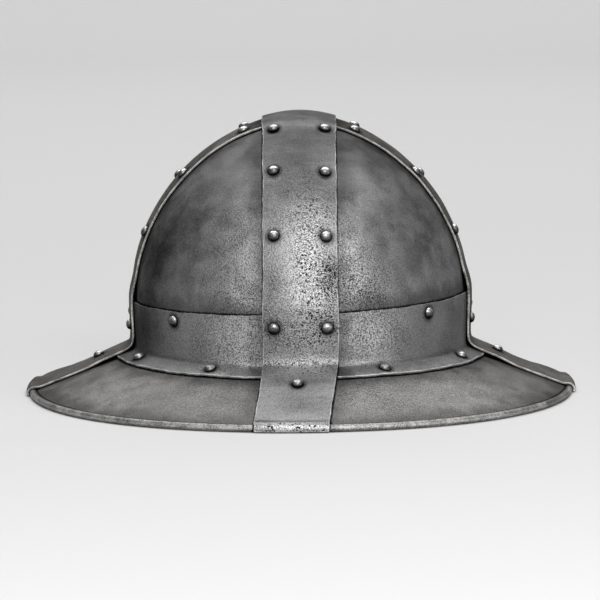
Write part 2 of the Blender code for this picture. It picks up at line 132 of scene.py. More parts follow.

# Patches of each kind of piece: the middle of each, how far it spreads along the level and
# upright, how bright it is made by wear and painted light, or where less than nothing how dark
# by tarnish and painted shade, and how gritty it is.
Patch = namedtuple("Patch", "x y z spread height shine grit")
PATCHES = {
    "long_strap": (
        Patch(0.006, -0.124, 0.100, 0.011, 0.028, 0.20, 0.75),
        Patch(0.020, -0.124, 0.092, 0.009, 0.016, -0.80, 0.60),
        Patch(-0.018, -0.124, 0.080, 0.012, 0.030, -0.45, 0.20),
        Patch(0.014, -0.124, 0.066, 0.014, 0.014, -0.30, 0.70),
        Patch(0.010, -0.110, 0.128, 0.016, 0.014, 0.15, 0.60),
        Patch(0.000, -0.090, 0.145, 0.030, 0.018, -0.35, 0.25),
        # Next two: painted shade high on the crown.
        Patch(0.000, -0.065, 0.168, 0.050, 0.014, -0.60, 0.00),
        Patch(0.000, -0.040, 0.184, 0.060, 0.014, -0.30, 0.00),
        Patch(0.000, -0.128, 0.052, 0.030, 0.014, -0.20, 0.45),
        # Next two: painted shade, then a painted highlight, where the strap bends over the corner.
        Patch(0.000, -0.130, 0.0352, 0.040, 0.0020, -0.60, 0.20),
        Patch(0.000, -0.134, 0.0308, 0.040, 0.0046, 0.90, 0.45),
        Patch(0.000, -0.170, 0.015, 0.026, 0.010, -0.40, 0.10),
        Patch(-0.006, -0.199, 0.003, 0.030, 0.004, 0.55, 0.90),
        Patch(0.004, 0.124, 0.100, 0.016, 0.036, -0.20, 0.90),
        # Next two: painted shade high on the crown.
        Patch(0.000, 0.065, 0.168, 0.050, 0.014, -0.60, 0.00),
        Patch(0.000, 0.040, 0.184, 0.060, 0.014, -0.30, 0.00),
        # Next two: painted shade, then a painted highlight, where the strap bends over the corner.
        Patch(0.000, 0.130, 0.0352, 0.040, 0.0020, -0.60, 0.20),
        Patch(0.000, 0.134, 0.0308, 0.040, 0.0046, 0.90, 0.45),
        Patch(0.000, 0.199, 0.003, 0.030, 0.004, 0.40, 0.90),
    ),
    "cross_strap": (
        Patch(-0.090, -0.026, 0.120, 0.060, 0.060, 0.00, 0.45),
        Patch(0.090, -0.026, 0.120, 0.060, 0.060, 0.00, 0.45),
    ),
    "brow_band": (
        Patch(0.044, -0.116, 0.052, 0.022, 0.018, 0.50, 0.90),
        Patch(-0.038, -0.117, 0.048, 0.026, 0.026, 0.65, 0.75),
        # Next two: painted shade on the band's sides, darker on the left.
        Patch(0.104, -0.050, 0.050, 0.040, 0.030, -0.30, 0.00),
        Patch(-0.104, -0.050, 0.050, 0.040, 0.030, -0.80, 0.00),
        Patch(-0.050, 0.114, 0.052, 0.026, 0.018, 0.50, 0.70),
        Patch(-0.070, -0.118, 0.0285, 0.060, 0.004, 0.55, 0.15),
        Patch(0.070, -0.118, 0.0285, 0.060, 0.004, 0.55, 0.15),
    ),
    "skull_plate": (
        Patch(-0.036, -0.112, 0.112, 0.022, 0.034, 0.60, 0.45),
        Patch(-0.032, -0.116, 0.076, 0.018, 0.014, 0.15, 0.55),
        Patch(0.030, -0.112, 0.110, 0.014, 0.030, 0.55, 0.60),
        Patch(0.036, -0.114, 0.080, 0.020, 0.016, -0.45, 0.80),
        Patch(0.052, -0.092, 0.128, 0.018, 0.020, 0.30, 0.00),
        Patch(0.086, -0.070, 0.104, 0.026, 0.036, 0.25, 0.05),
        # Next three: painted shade high on the crown beside the strap, and on its left side.
        Patch(-0.040, -0.060, 0.165, 0.060, 0.016, -0.28, 0.00),
        Patch(0.040, -0.060, 0.165, 0.060, 0.016, -0.50, 0.00),
        Patch(-0.100, -0.055, 0.090, 0.030, 0.060, -0.70, 0.00),
        Patch(0.034, -0.096, 0.137, 0.024, 0.008, 0.25, 0.15),
        Patch(0.050, 0.098, 0.110, 0.026, 0.040, 0.40, 0.40),
        Patch(-0.044, 0.108, 0.084, 0.024, 0.026, 0.20, 0.50),
    ),
    "brim": (
        Patch(0.106, -0.120, 0.015, 0.050, 0.030, 0.45, 0.30),
        # Painted light on the brim at the front left.
        Patch(-0.120, -0.100, 0.015, 0.060, 0.030, 0.55, 0.12),
        Patch(-0.050, -0.150, 0.015, 0.030, 0.030, 0.00, 0.25),
        Patch(0.040, -0.150, 0.015, 0.036, 0.030, -0.10, 0.45),
        Patch(-0.060, 0.150, 0.015, 0.046, 0.030, 0.20, 0.40),
    ),
}


def length(name, default, description):
    return bpy.props.FloatProperty(
        name=name, description=description, default=default, unit="LENGTH", precision=4
    )


def angle(name, degrees, description):
    return bpy.props.FloatProperty(
        name=name, description=description, default=math.radians(degrees), subtype="ANGLE"
    )


def number(name, default, description):
    return bpy.props.FloatProperty(name=name, description=description, default=default, min=0.0)


def colour(name, default, description):
    return bpy.props.FloatVectorProperty(
        name=name, description=description, default=default, min=0, max=1, size=3, subtype="COLOR"
    )


class HatSizes(bpy.types.PropertyGroup):
    """The hat's sizes, which are the solids' own but for the straps' steps."""

    sheet: length("Sheet", 0.0015, "Thickness of every sheet")
    seat_gap: length("Seat gap", 0.0005, "Space between a sheet and the one that it lies on")
    skull_half_width: length("Skull half width", 0.1118, "Middle to side at the widest level")
    skull_half_length: length("Skull half length", 0.1262, "Middle to front at the widest level")
    widest_rise: length("Widest rise", 0.0325, "Height of the widest level over the brim corner")
    top_rise: length("Top rise", 0.1546, "Height of the crown over the brim corner")
    side_rounding: number("Side rounding", 1.80, "How upright the crown's sides start")
    top_rounding: number("Top rounding", 2.00, "How flat the crown's top is")
    foot_taper: length("Foot taper", 0.0012, "How far the skull draws in at its foot")
    seam: length("Seam", 0.004, "Space between two plates under a strap")
    crown_corner_cut: length("Crown corner cut", 0.0140, "How far from the top a plate ends")
    band_rise: length("Band rise", 0.0354, "Height of the brow band over the brim corner")
    band_tilt: length("Band tilt", 0.0027, "How much higher the band is at the right")
    lip_reach: length("Lip reach", 0.0138, "How far the band's lip lies out on the brim")
    corner_radius: length("Corner radius", 0.0045, "Bend between skull and brim")
    edge_margin: length("Edge margin", 0.0005, "Space kept at hidden edges")
    brim_reach: length("Brim reach", 0.0701, "Level distance from the corner to the rolled edge")
    brim_slope: angle("Brim slope", 21.2, "How steeply the brim falls")
    brim_fullness: number("Brim fullness", 0.020, "How much fuller than an oval the brim is")
    roll_radius: length("Roll radius", 0.0025, "Radius of the rolled edge")
    roll_set_down: length("Roll set down", 0.0010, "How far the roll hangs under the brim's face")
    roll_flat: angle("Roll flat", 12, "Half of the roll's underside that is flat")
    long_strap_width: length("Long strap width", 0.0475, "Strap from front to back")
    cross_strap_width: length("Cross strap width", 0.0520, "Strap from side to side")
    front_end_sidestep: length("Front end sidestep", 0.0062, "Lean of the long strap's front end")
    step_run: length("Step run", 0.0180, "Length in which a strap steps up on the band")
    crown_step_run: length("Crown step run", 0.0140, "The same for one strap on the other")
    step_lead: length("Step lead", 0.0012, "How far before an edge the strap is up")
    lip_run_out: length("Lip run-out", 0.0240, "Length in which a strap comes down on the brim")
    strap_end_turn: angle("Strap end turn", 25, "How far a strap's end is turned under")
    strap_wrap_start: angle("Strap wrap start", 112, "Where a strap meets the rolled edge")
    roll_approach: length("Roll approach", 0.0055, "Where a strap leaves the brim for the roll")
    rivet_head_radius: length("Rivet head radius", 0.0037, "Radius of a domed head")
    rivet_head_height: length("Rivet head height", 0.0029, "Height of a domed head")
    rivet_shank_radius: length("Rivet shank radius", 0.0020, "Radius of a shank")
    rivet_tail_radius: length("Rivet tail radius", 0.0031, "Radius of a hammered tail")
    rivet_tail_height: length("Rivet tail height", 0.0010, "Height of a hammered tail")
    edge_round: length("Edge round", 0.00035, "How much every cut edge is worn round")


class SteelFinish(bpy.types.PropertyGroup):
    """Colours and depths of the blackened steel."""

    # Black is also the colour of the painted shade in seams and round rivet heads.
    black: colour("Black", (0.008, 0.008, 0.008), "The blackening in seams and pits")
    worn: colour("Worn", (0.70, 0.70, 0.70), "Bare steel where the blackening is worn off")
    warm: colour("Warm", (0.68, 0.63, 0.55), "Bare steel with a brown cast, at the sides and rim")
    roughness: number("Roughness", 0.46, "How dull the blackened steel is")
    grain_depth: length("Grain depth", 0.00018, "Depth of the fine unevenness")
    pit_depth: length("Pit depth", 0.00020, "Depth of the pits")


class StageLook(bpy.types.PropertyGroup):
    """The studio and its camera."""

    floor: colour("Floor", (0.62, 0.62, 0.62), "The paper that the hat stands on")
    surroundings: colour("Surroundings", (0.10, 0.10, 0.10), "Light from the rest of the room")
    front_power: number("Front light", 46.0, "Watts of the soft light in front")
    top_power: number("Top light", 12.0, "Watts of the soft light above")
    left_power: number("Left light", 3.0, "Watts of the light in front of the left side")
    right_power: number("Right light", 8.0, "Watts of the light in front of the right side")
    paper_power: number("Paper light", 230.0, "Watts of the light on the backdrop")
    camera_distance: length("Camera distance", 2.7, "From the hat's middle")
    camera_elevation: angle("Camera elevation", 6.76, "Height of the camera over the level")
    camera_roll: angle("Camera roll", 0.45, "How much the hat leans up to the right")
    look_height: length("Look height", 0.0608, "Height of the middle of the picture")
    look_aside: length("Look aside", -0.00024, "How far left the middle of the picture is")
    lens: number("Lens", 240.0, "Focal length in millimetres")


Ring = namedtuple("Ring", "wide long height level wide_lean long_lean fullness")
RivetSeat = namedtuple("RivetSeat", "node point axis shank")


def smooth_step(value, start, end):
    share = np.clip((value - start) / (end - start), 0.0, 1.0)
    return share * share * (3 - 2 * share)


def ragged(run, side=0.0):
    """How far a cut edge strays at each point of its run."""
    stray = 0.0
    for cut in EDGE_CUTS:
        stray = stray + cut.amount * np.sin(2 * math.pi * run / cut.length + cut.phase + side)
    return stray


class Shell:
    """The hat's face, as ovals round it whose widths, heights and slopes follow from the sizes."""

    def __init__(self, sizes):
        for name in HatSizes.__annotations__:
            setattr(self, name, getattr(sizes, name))
        slope = self.brim_slope
        self.layer = self.sheet + self.seat_gap
        self.stretch = self.skull_half_length / self.skull_half_width
        self.roll_height = self.roll_radius * math.cos(self.roll_flat)
        self.corner_height = (
            self.roll_height
            + self.roll_set_down / math.cos(slope)
            + self.brim_reach * math.tan(slope)
        )
        self.corner_length = self.corner_radius * (1 - math.sin(slope)) / math.cos(slope)
        self.lip_start = self.corner_radius * (1 - math.sin(slope))
        self.corner_turn = math.pi / 2 - slope
        self.foot_wide = self.skull_half_width - self.foot_taper
        self.foot_long = self.foot_wide * self.stretch
        cut = self.crown_corner_cut / self.skull_half_width
        self.plate_climb = math.acos(cut ** (self.side_rounding / 2))

    def profile(self, climb):
        wide = self.skull_half_width * np.cos(climb).clip(0) ** (2 / self.side_rounding)
        rise = (self.top_rise - self.widest_rise) * np.sin(climb).clip(0) ** (2 / self.top_rounding)
        return wide, rise

    def dome(self, climb):
        """The skull above its widest level, from climb 0 there to a quarter turn at the top."""
        low = self.profile(np.maximum(climb - CLIMB_NUDGE, 0.0))
        high = self.profile(np.minimum(climb + CLIMB_NUDGE, math.pi / 2))
        inward, upward = low[0] - high[0], high[1] - low[1]
        steep = np.hypot(inward, upward)
        wide, rise = self.profile(climb)
        height = self.corner_height + self.widest_rise + rise
        level, lean = upward / steep, inward / steep
        return Ring(wide, wide * self.stretch, height, level, lean, lean * self.stretch, 0.0)

    def skull(self, rise):
        """The skull at a height above the brim corner."""
        share = (rise - self.widest_rise) / (self.top_rise - self.widest_rise)
        upper = self.dome(np.arcsin(np.clip(share, 0.0, 1.0) ** (self.top_rounding / 2)))
        drop = math.pi * np.maximum(self.widest_rise - rise, 0.0) / self.widest_rise
        wide = self.skull_half_width - self.foot_taper * (1 - np.cos(drop)) / 2
        lean = -self.foot_taper * np.sin(drop) * math.pi / self.widest_rise / 2
        below = rise <= self.widest_rise
        return Ring(
            np.where(below, wide, upper.wide),
            np.where(below, wide, upper.wide) * self.stretch,
            self.corner_height + rise,
            np.where(below, 1.0, upper.level),
            np.where(below, lean, upper.wide_lean),
            np.where(below, lean, upper.wide_lean) * self.stretch,
            0.0,
        )

    def crown_ring(self, wide):
        """The skull's ring of a given half width, above the widest level."""
        share = np.clip(wide / self.skull_half_width, 0.0, 1.0)
        return self.dome(np.arccos(share ** (self.side_rounding / 2)))

    def corner(self, turn):
        """The bend between skull and brim, from turn 0 on the skull to corner_turn on the brim."""
        out = self.corner_radius * (1 - np.cos(turn))
        height = self.corner_height + self.corner_length - self.corner_radius * np.sin(turn)
        level, lean = np.cos(turn), np.sin(turn)
        return Ring(self.foot_wide + out, self.foot_long + out, height, level, lean, lean, 0.0)

    def brim(self, reach):
        """The brim's upper face at a level distance out from the brim corner."""
        level, lean = math.sin(self.brim_slope), math.cos(self.brim_slope)
        height = self.corner_height - reach * math.tan(self.brim_slope)
        fullness = self.brim_fullness * reach / self.brim_reach
        wide, long = self.foot_wide + reach, self.foot_long + reach
        return Ring(wide, long, height, level, lean, lean, fullness)

    def roll(self, turn, radius):
        """A ring round the rolled edge: turn 0 is outward, and a quarter turn is up."""
        reach = self.brim_reach + radius * np.cos(turn)
        height = self.roll_height + radius * np.sin(turn)
        wide, long = self.foot_wide + reach, self.foot_long + reach
        return Ring(wide, long, height, 0.0, 1.0, 1.0, self.brim_fullness)

    def normal(self, ring, around):
        """The way the face looks, at an angle round from the front."""
        across, along = np.sin(around), -np.cos(around)
        wide, long = np.maximum(ring.wide, 1e-6), np.maximum(ring.long, 1e-6)
        up = across**2 * ring.wide_lean / wide + along**2 * ring.long_lean / long
        out = (across * ring.level / wide, along * ring.level / long, up)
        out = np.stack(np.broadcast_arrays(*out), axis=-1)
        return out / np.linalg.norm(out, axis=-1, keepdims=True)

    def place(self, ring, around, lift=0.0):
        """Points on a ring, at an angle round from the front, raised off the face by lift."""
        size = 1 + ring.fullness * np.sin(2 * around) ** 2
        spot = (
            ring.wide * size * np.sin(around),
            -ring.long * size * np.cos(around),
            ring.height + 0.0 * around,
        )
        spot = np.stack(np.broadcast_arrays(*spot), axis=-1)
        raised = lift + self.unevenness(spot)
        return spot + self.normal(ring, around) * raised[..., None]

    def unevenness(self, spot):
        """How far the hammered face stands in or out. It dies away at the rim and at the top."""
        total = 0.0
        for wave in WAVES:
            along = spot @ np.array((wave.x, wave.y, wave.z))
            total = total + wave.amount * np.sin(2 * math.pi * along / wave.length + wave.phase)
        out = np.hypot(spot[..., 0] / self.foot_wide, spot[..., 1] / self.foot_long)
        top = self.corner_height + self.top_rise
        calm = smooth_step(out, 1.50, 1.25) * smooth_step(top - spot[..., 2], 0.001, 0.012)
        return total * calm

    def rise_of_band(self, around):
        return self.band_rise + self.band_tilt * np.sin(around)

    def quarter(self, quarter, ring, share):
        """Angles across one quarter of the hat, from seam to seam."""
        sideways = bool(quarter % 2)
        first = np.arcsin(np.minimum(self.seam / 2 / (ring.long if sideways else ring.wide), 1.0))
        last = np.arcsin(np.minimum(self.seam / 2 / (ring.wide if sideways else ring.long), 1.0))
        start = quarter * math.pi / 2 + first
        return start + (math.pi / 2 - first - last) * share

    def sidestep(self, arm, reach):
        """How far to the left a strap's middle has moved where it crosses the brim."""
        return -self.front_end_sidestep * reach / self.brim_reach if arm == "front" else 0.0

    def past_straps(self, spot):
        """How far each point is outside the nearer strap. Under a strap it is less than 0."""
        reach = np.maximum(self.corner_height - spot[..., 2], 0) / math.tan(self.brim_slope)
        middle = np.where(spot[..., 1] < 0, self.sidestep("front", reach), 0.0)
        past_long = np.abs(spot[..., 0] - middle) - self.long_strap_width / 2
        past_cross = np.abs(spot[..., 1]) - self.cross_strap_width / 2
        return np.minimum(past_long, past_cross)


def rivet_seats():
    """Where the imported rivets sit: under the middle of each head, with the way that it points."""
    sizes = Shell(bpy.context.scene.hat_sizes)
    seats = []
    for node in sorted(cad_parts):
        if not node.startswith("rivet_"):
            continue
        points = {tuple(round(c, 6) for c in v.co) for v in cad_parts[node].data.vertices}
        points = np.array(sorted(points))
        middle = points.mean(axis=0)
        spreads, ways = np.linalg.svd(points - middle)[1:]
        odd = 0 if spreads[0] - spreads[1] > spreads[1] - spreads[2] else 2
        axis = ways[odd] * np.sign(ways[odd] @ middle)
        heights = (points - middle) @ axis
        head = heights.max() - sizes.rivet_head_height
        tail = heights.min() + sizes.rivet_tail_height
        seats.append(RivetSeat(node, middle + axis * head, axis, head - tail))
    return seats


def past_rivets(spot, seats, radius):
    """How far each point is outside the nearest rivet head."""
    nearest = np.full(spot.shape[:-1], FAR)
    for seat in seats:
        apart = spot - seat.point
        far_off = np.linalg.norm(apart, axis=-1)
        sideways = np.linalg.norm(np.cross(apart, seat.axis), axis=-1)
        nearest = np.minimum(nearest, np.where(far_off < HEAD_NEAR, sideways - radius, FAR))
    return nearest


def patches(spot, piece):
    """Each point's wear, painted light, tarnish, painted shade and grit from the patches."""
    shine, grit = np.zeros(spot.shape[:-1]), np.zeros(spot.shape[:-1])
    kind = next(kind for kind in PATCHES if piece.startswith(kind))
    for patch in PATCHES[kind]:
        level = (spot[..., 0] - patch.x) ** 2 + (spot[..., 1] - patch.y) ** 2
        upright = (spot[..., 2] - patch.z) ** 2
        near = np.exp(-level / patch.spread**2 - upright / patch.height**2)
        shine += patch.shine * near
        grit += patch.grit * near
    return shine, grit


def loops(rows, columns, first=0, flip=False):
    """Faces of a grid of points. Seen from outside, its rows run down and its columns right."""
    row, column = np.mgrid[0 : rows - 1, 0 : columns - 1]
    here = first + row * columns + column
    corners = [here, here + columns, here + columns + 1, here + 1]
    return np.stack(corners[::-1] if flip else corners, axis=-1).reshape(-1, 4)


def border(rows, columns):
    """The outline of a grid, once round."""
    top = np.arange(columns)
    right = np.arange(1, rows) * columns + columns - 1
    bottom = np.arange(columns - 2, -1, -1) + (rows - 1) * columns
    left = np.arange(rows - 2, 0, -1) * columns
    return np.concatenate([top, right, bottom, left])


def ring_loops(rows, columns, closed=False):
    """Lists of faces of a grid whose columns go once round, and where closed its rows too."""
    grid = np.arange(rows * columns).reshape(rows, columns)
    if closed:
        grid = np.concatenate([grid, grid[:1]])
    beside = np.roll(grid, -1, axis=1)
    corners = [grid[:-1], grid[1:], beside[1:], beside[:-1]]
    return np.stack(corners, axis=-1).reshape(-1, 4).tolist()


def make_piece(node, points, faces, marks, material, round_edges=0.0):
    """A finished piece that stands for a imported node. The marks say what lies near each point."""
    mesh = bpy.data.meshes.new(f"{node}_steel")
    mesh.from_pydata(points.reshape(-1, 3).tolist(), [], faces)
    turned = bmesh.new()
    turned.from_mesh(mesh)
    bmesh.ops.recalc_face_normals(turned, faces=turned.faces)
    turned.to_mesh(mesh)
    turned.free()
    for name, values in marks.items():
        mark = mesh.attributes.new(name, "FLOAT", "POINT")
        mark.data.foreach_set("value", np.ravel(values).astype(np.float32))
    mesh.shade_smooth()
    mesh.set_sharp_from_angle(angle=math.radians(40))
    mesh.materials.append(material)
    piece = bpy.data.objects.new(mesh.name, mesh)
    bpy.context.scene.collection.objects.link(piece)
    if round_edges:
        bevel = piece.modifiers.new("worn edges", "BEVEL")
        bevel.width = round_edges
        bevel.segments = 2
        bevel.limit_method = "ANGLE"
        bevel.angle_limit = math.radians(50)
        bevel.harden_normals = True
    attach(piece, "root")
    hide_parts(node)
    return piece


def make_sheet(node, outer, inner, own_edge, under, material, shell, seats):
    """A sheet between its outer and inner faces, closed along its edges."""
    rows, columns = outer.shape[:2]
    half = rows * columns
    outline = border(rows, columns)
    after = np.roll(outline, -1)
    rim = np.stack([outline, after, after + half, outline + half], axis=-1)
    faces = np.concatenate([loops(rows, columns), loops(rows, columns, half, True), rim]).tolist()
    marks = surface_marks(outer, node, own_edge, under, shell, seats)
    marks = {name: np.stack([values, values]) for name, values in marks.items()}
    marks["outside"] = np.stack([np.ones((rows, columns)), np.zeros((rows, columns))])
    points = np.stack([outer, inner])
    return make_piece(node, points, faces, marks, material, shell.edge_round)


def surface_marks(spot, node, own_edge, under, shell, seats):
    """What the finish needs to know of each point: the distances to edges, rivets and patches."""
    shine, grit = patches(spot, node)
    return {
        "own_edge": np.broadcast_to(own_edge, spot.shape[:-1]),
        "under_edge": np.broadcast_to(under, spot.shape[:-1]),
        "rivet_edge": past_rivets(spot, seats, shell.rivet_head_radius),
        "shine": shine,
        "grit": grit,
    }


def skull_plate(shell, seats, name, quarter, material):
    """One of the four domed plates that meet under the straps."""
    foot = shell.corner_length + shell.edge_margin
    climbs = np.linspace(shell.plate_climb, 0.0, PLATE_ROWS["dome"])[:, None]
    upright = np.linspace(shell.widest_rise, foot, PLATE_ROWS["upright"])[1:, None]
    parts = []
    for ring in (shell.dome(climbs), shell.skull(upright)):
        around = shell.quarter(quarter, ring, np.linspace(0.0, 1.0, PLATE_POINTS))
        parts.append((shell.place(ring, around), shell.place(ring, around, -shell.sheet), around))
    outer = np.concatenate([part[0] for part in parts])
    inner = np.concatenate([part[1] for part in parts])
    around = np.concatenate([part[2] for part in parts])
    over_band = outer[..., 2] - shell.corner_height - shell.rise_of_band(around)
    under = np.minimum(shell.past_straps(outer), over_band)
    node = f"skull_plate_{name}"
    return make_sheet(node, outer, inner, FAR, under, material, shell, seats)


def brow_band(shell, seats, name, quarter, material):
    """A quarter of the brow band, from its upper edge down round the corner to its lip."""
    foot = Ring(shell.foot_wide, shell.foot_long, 0.0, 1.0, 0.0, 0.0, 0.0)
    around = shell.quarter(quarter, foot, np.linspace(0.0, 1.0, BAND_POINTS))[None, :]
    run = around * shell.foot_long
    top = shell.rise_of_band(around) + ragged(run)
    down = np.linspace(0.0, 1.0, BAND_ROWS["upright"])[:, None]
    rings = [shell.skull(top + (shell.corner_length - top) * down)]
    rings.append(shell.corner(np.linspace(0.0, shell.corner_turn, BAND_ROWS["bend"])[1:, None]))
    lip = shell.lip_reach + LIP_STRAY * ragged(run, 2.0)
    across = np.linspace(0.0, 1.0, BAND_ROWS["lip"])[1:, None]
    rings.append(shell.brim(shell.lip_start + (lip - shell.lip_start) * across))
    clear, face = shell.seat_gap, shell.layer
    inner = np.concatenate([shell.place(ring, around, clear) for ring in rings])
    outer = np.concatenate([shell.place(ring, around, face) for ring in rings])
    for points in (inner, outer):
        soften(points[BAND_BEND], BAND_ROUNDS)
    steps = np.linalg.norm(np.diff(outer, axis=0), axis=-1)
    walked = np.concatenate([np.zeros((1, outer.shape[1])), np.cumsum(steps, axis=0)])
    own_edge = np.minimum(walked + BAND_TOP_UNWORN, walked[-1] - walked)
    under = shell.past_straps(outer)
    node = f"brow_band_{name}"
    return make_sheet(node, outer, inner, own_edge, under, material, shell, seats)


def brim(shell, seats, material):
    """The brim, one ring of sheet with its outer edge rolled into a bead."""
    upper = math.pi - math.asin(shell.roll_set_down / shell.roll_radius) - shell.brim_slope
    sunk = math.asin((shell.sheet - shell.roll_set_down) / shell.roll_radius)
    lower = -math.pi + sunk - shell.brim_slope
    turns = np.linspace(upper, lower, ROLL_POINTS)
    around = np.linspace(0.0, 2 * math.pi, BRIM_POINTS, endpoint=False)[None, :]
    inner_reach = shell.lip_start + shell.edge_margin
    meets = shell.brim_reach + shell.roll_radius * math.cos(upper)
    reaches = np.linspace(inner_reach, meets, BRIM_ROWS)[:-1, None]
    top = shell.place(shell.brim(reaches), around)
    bottom = shell.place(shell.brim(reaches[::-2]), around, -shell.sheet)
    bead = shell.place(shell.roll(turns[:, None], shell.roll_radius), around)
    bead[..., 2] = np.maximum(bead[..., 2], 0.0)
    points = np.concatenate([top, bead, bottom])
    rows, first = len(points), len(top)
    on_roll = slice(first, first + ROLL_POINTS)
    reach = np.concatenate([reaches, np.full((ROLL_POINTS, 1), meets), reaches[::-2]])
    crest = np.full((rows, 1), FAR)
    off_crest = np.abs(turns - CREST_TURN) * shell.roll_radius
    crest[on_roll, 0] = np.maximum(off_crest - CREST_HALF_WIDTH, CREST_WEAR)
    # The roll's crease and the brim by the band's lip count as covering edges, so get painted shade.
    crease = np.full((rows, 1), FAR)
    crease[:first] = meets - reaches
    crease[on_roll, 0] = (upper - turns) * 2 * shell.roll_radius
    under = np.minimum(shell.past_straps(points), reach - shell.lip_reach)
    under = np.minimum(under, crease)
    marks = surface_marks(points, "brim", crest, under, shell, seats)
    marks["grit"][on_roll] += ROLL_GRIT
    outside = np.ones((rows, 1))
    outside[first + ROLL_OUTSIDE :] = 0.0
    marks["outside"] = np.broadcast_to(outside, points.shape[:-1])
    faces = ring_loops(rows, BRIM_POINTS, closed=True)
    return make_piece("brim", points, faces, marks, material)


def soften(points, rounds):
    """Eases the sharp bend that a stretch of rows goes round, least at the stretch's ends."""
    pull = 0.25 * np.sin(np.linspace(0.0, math.pi, len(points)))[1:-1, None, None]
    for _ in range(rounds):
        points[1:-1] += pull * (points[:-2] - 2 * points[1:-1] + points[2:])


def bridge(before, after):
    """Rows that lead smoothly from the last row of one stretch to the first row of the next."""
    leaves, meets = before[-1] - before[-2], after[1] - after[0]
    gap = np.linalg.norm(after[0] - before[-1], axis=-1)[:, None] * 0.9
    leaves = leaves / np.linalg.norm(leaves, axis=-1)[:, None] * gap
    meets = meets / np.linalg.norm(meets, axis=-1)[:, None] * gap
    t = np.linspace(0.0, 1.0, STRAP_ROWS["bridge"])[1:-1, None, None]
    ends = (2 * t**3 - 3 * t**2 + 1) * before[-1] + (3 * t**2 - 2 * t**3) * after[0]
    return ends + (t**3 - 2 * t**2 + t) * leaves + (t**3 - t**2) * meets


def arm_points(shell, arm, lanes, width, crossing, rides_over, face):
    """Points down one arm of a strap, from the top of the crown to its end under the rim.

    lanes go from -1 at one edge to 1 at the other, and face is 0 inside or the sheet's thickness.
    """
    lengthwise = arm in ("front", "back")
    level = shell.dome(np.array(shell.plate_climb * CROWN_SHARE))
    half, reach = (level.wide, level.long) if lengthwise else (level.long, level.wide)
    clear = shell.seat_gap + face
    edge = crossing / 2 + shell.step_lead
    around = ARM_ANGLE[arm]

    def offsets(run, moved=0.0):
        stray = ragged(run, around + 2.0 * np.sign(lanes))
        return lanes * (width / 2 + stray) + moved

    def on_ring(ring, run, lift, moved=0.0):
        across = offsets(run, moved) / (ring.wide if lengthwise else ring.long)
        return shell.place(ring, around + np.arcsin(across), lift)

    runs = np.linspace(0.0, reach, STRAP_ROWS["crown"])[:, None]
    offset = offsets(runs)
    drawn_in = reach - reach * np.sqrt(1 - (offset / half) ** 2)
    run = runs - drawn_in * (runs / reach) ** 3
    along = run / shell.stretch if lengthwise else run
    across = offset if lengthwise else offset / shell.stretch
    ring = shell.crown_ring(np.hypot(along, across))
    turned = around + np.arctan2(across, along)
    step = 1 - smooth_step(runs, edge, edge + shell.crown_step_run)
    lift = clear + (shell.layer * step if rides_over else 0.0 * step)
    rows = [shell.place(ring, turned, lift)]

    band = float(shell.rise_of_band(around)) + shell.step_lead
    level_rise = float(level.height) - shell.corner_height
    rises = np.linspace(level_rise, shell.corner_length, STRAP_ROWS["side"])[1:, None]
    lift = clear + shell.layer * smooth_step(rises, band + shell.step_run, band)
    run = reach + level_rise - rises
    rows.append(on_ring(shell.skull(rises), run, lift))

    turns = np.linspace(0.0, shell.corner_turn, STRAP_ROWS["bend"])[1:, None]
    bend_run = run[-1] + turns * shell.corner_radius
    rows.append(on_ring(shell.corner(turns), bend_run, clear + shell.layer))

    lip_end = shell.lip_reach + shell.step_lead
    leaving = shell.brim_reach - shell.roll_approach
    reaches = np.linspace(shell.lip_start, leaving, STRAP_ROWS["brim"])[1:, None]
    lift = clear + shell.layer * smooth_step(reaches, lip_end + shell.lip_run_out, lip_end)
    moved = shell.sidestep(arm, reaches)
    run = run[-1] + reaches
    rows.append(on_ring(shell.brim(reaches), run, lift, moved))

    start = shell.strap_wrap_start - shell.brim_slope
    turns = np.linspace(start, -shell.strap_end_turn, STRAP_ROWS["wrap"])[:, None]
    moved = shell.sidestep(arm, shell.brim_reach)
    wrapped = shell.roll(turns, shell.roll_radius + clear - WRAP_DRAW)
    wrap = on_ring(wrapped, run[-1] + 0.01 * (start - turns), 0.0, moved)
    corner = len(rows[0]) + len(rows[1])
    points = np.concatenate(rows + [bridge(rows[-1], wrap), wrap])
    soften(points[corner - ROWS_ABOVE_BEND : corner + ROWS_BELOW_BEND], STRAP_ROUNDS)
    return points


def strap(shell, seats, node, arms, width, crossing, rides_over, material):
    """A strap from rim to rim over the crown, turned down over the rolled edge at both ends."""
    lanes = np.linspace(-1.0, 1.0, STRAP_LANES)[None, :]
    faces = []
    for face in (shell.sheet, 0.0):
        near, far = [
            arm_points(shell, arm, lanes * way, width, crossing, rides_over, face)
            for arm, way in zip(arms, (1.0, -1.0))
        ]
        faces.append(np.concatenate([near[::-1], far[1:]]))
    outer, inner = [points[:, ::-1] for points in faces]
    steps = np.linalg.norm(np.diff(outer[:, STRAP_LANES // 2], axis=0), axis=-1)
    walked = np.concatenate([[0.0], np.cumsum(steps)])[:, None]
    ends = np.minimum(walked, walked[-1] - walked)
    unworn = LONG_STRAP_UNWORN if rides_over else 0.0
    own_edge = np.minimum(ends, width / 2 * (1 - np.abs(lanes)) + unworn)
    under = FAR if rides_over else np.abs(outer[..., 0]) - crossing / 2
    return make_sheet(node, outer, inner, own_edge, under, material, shell, seats)


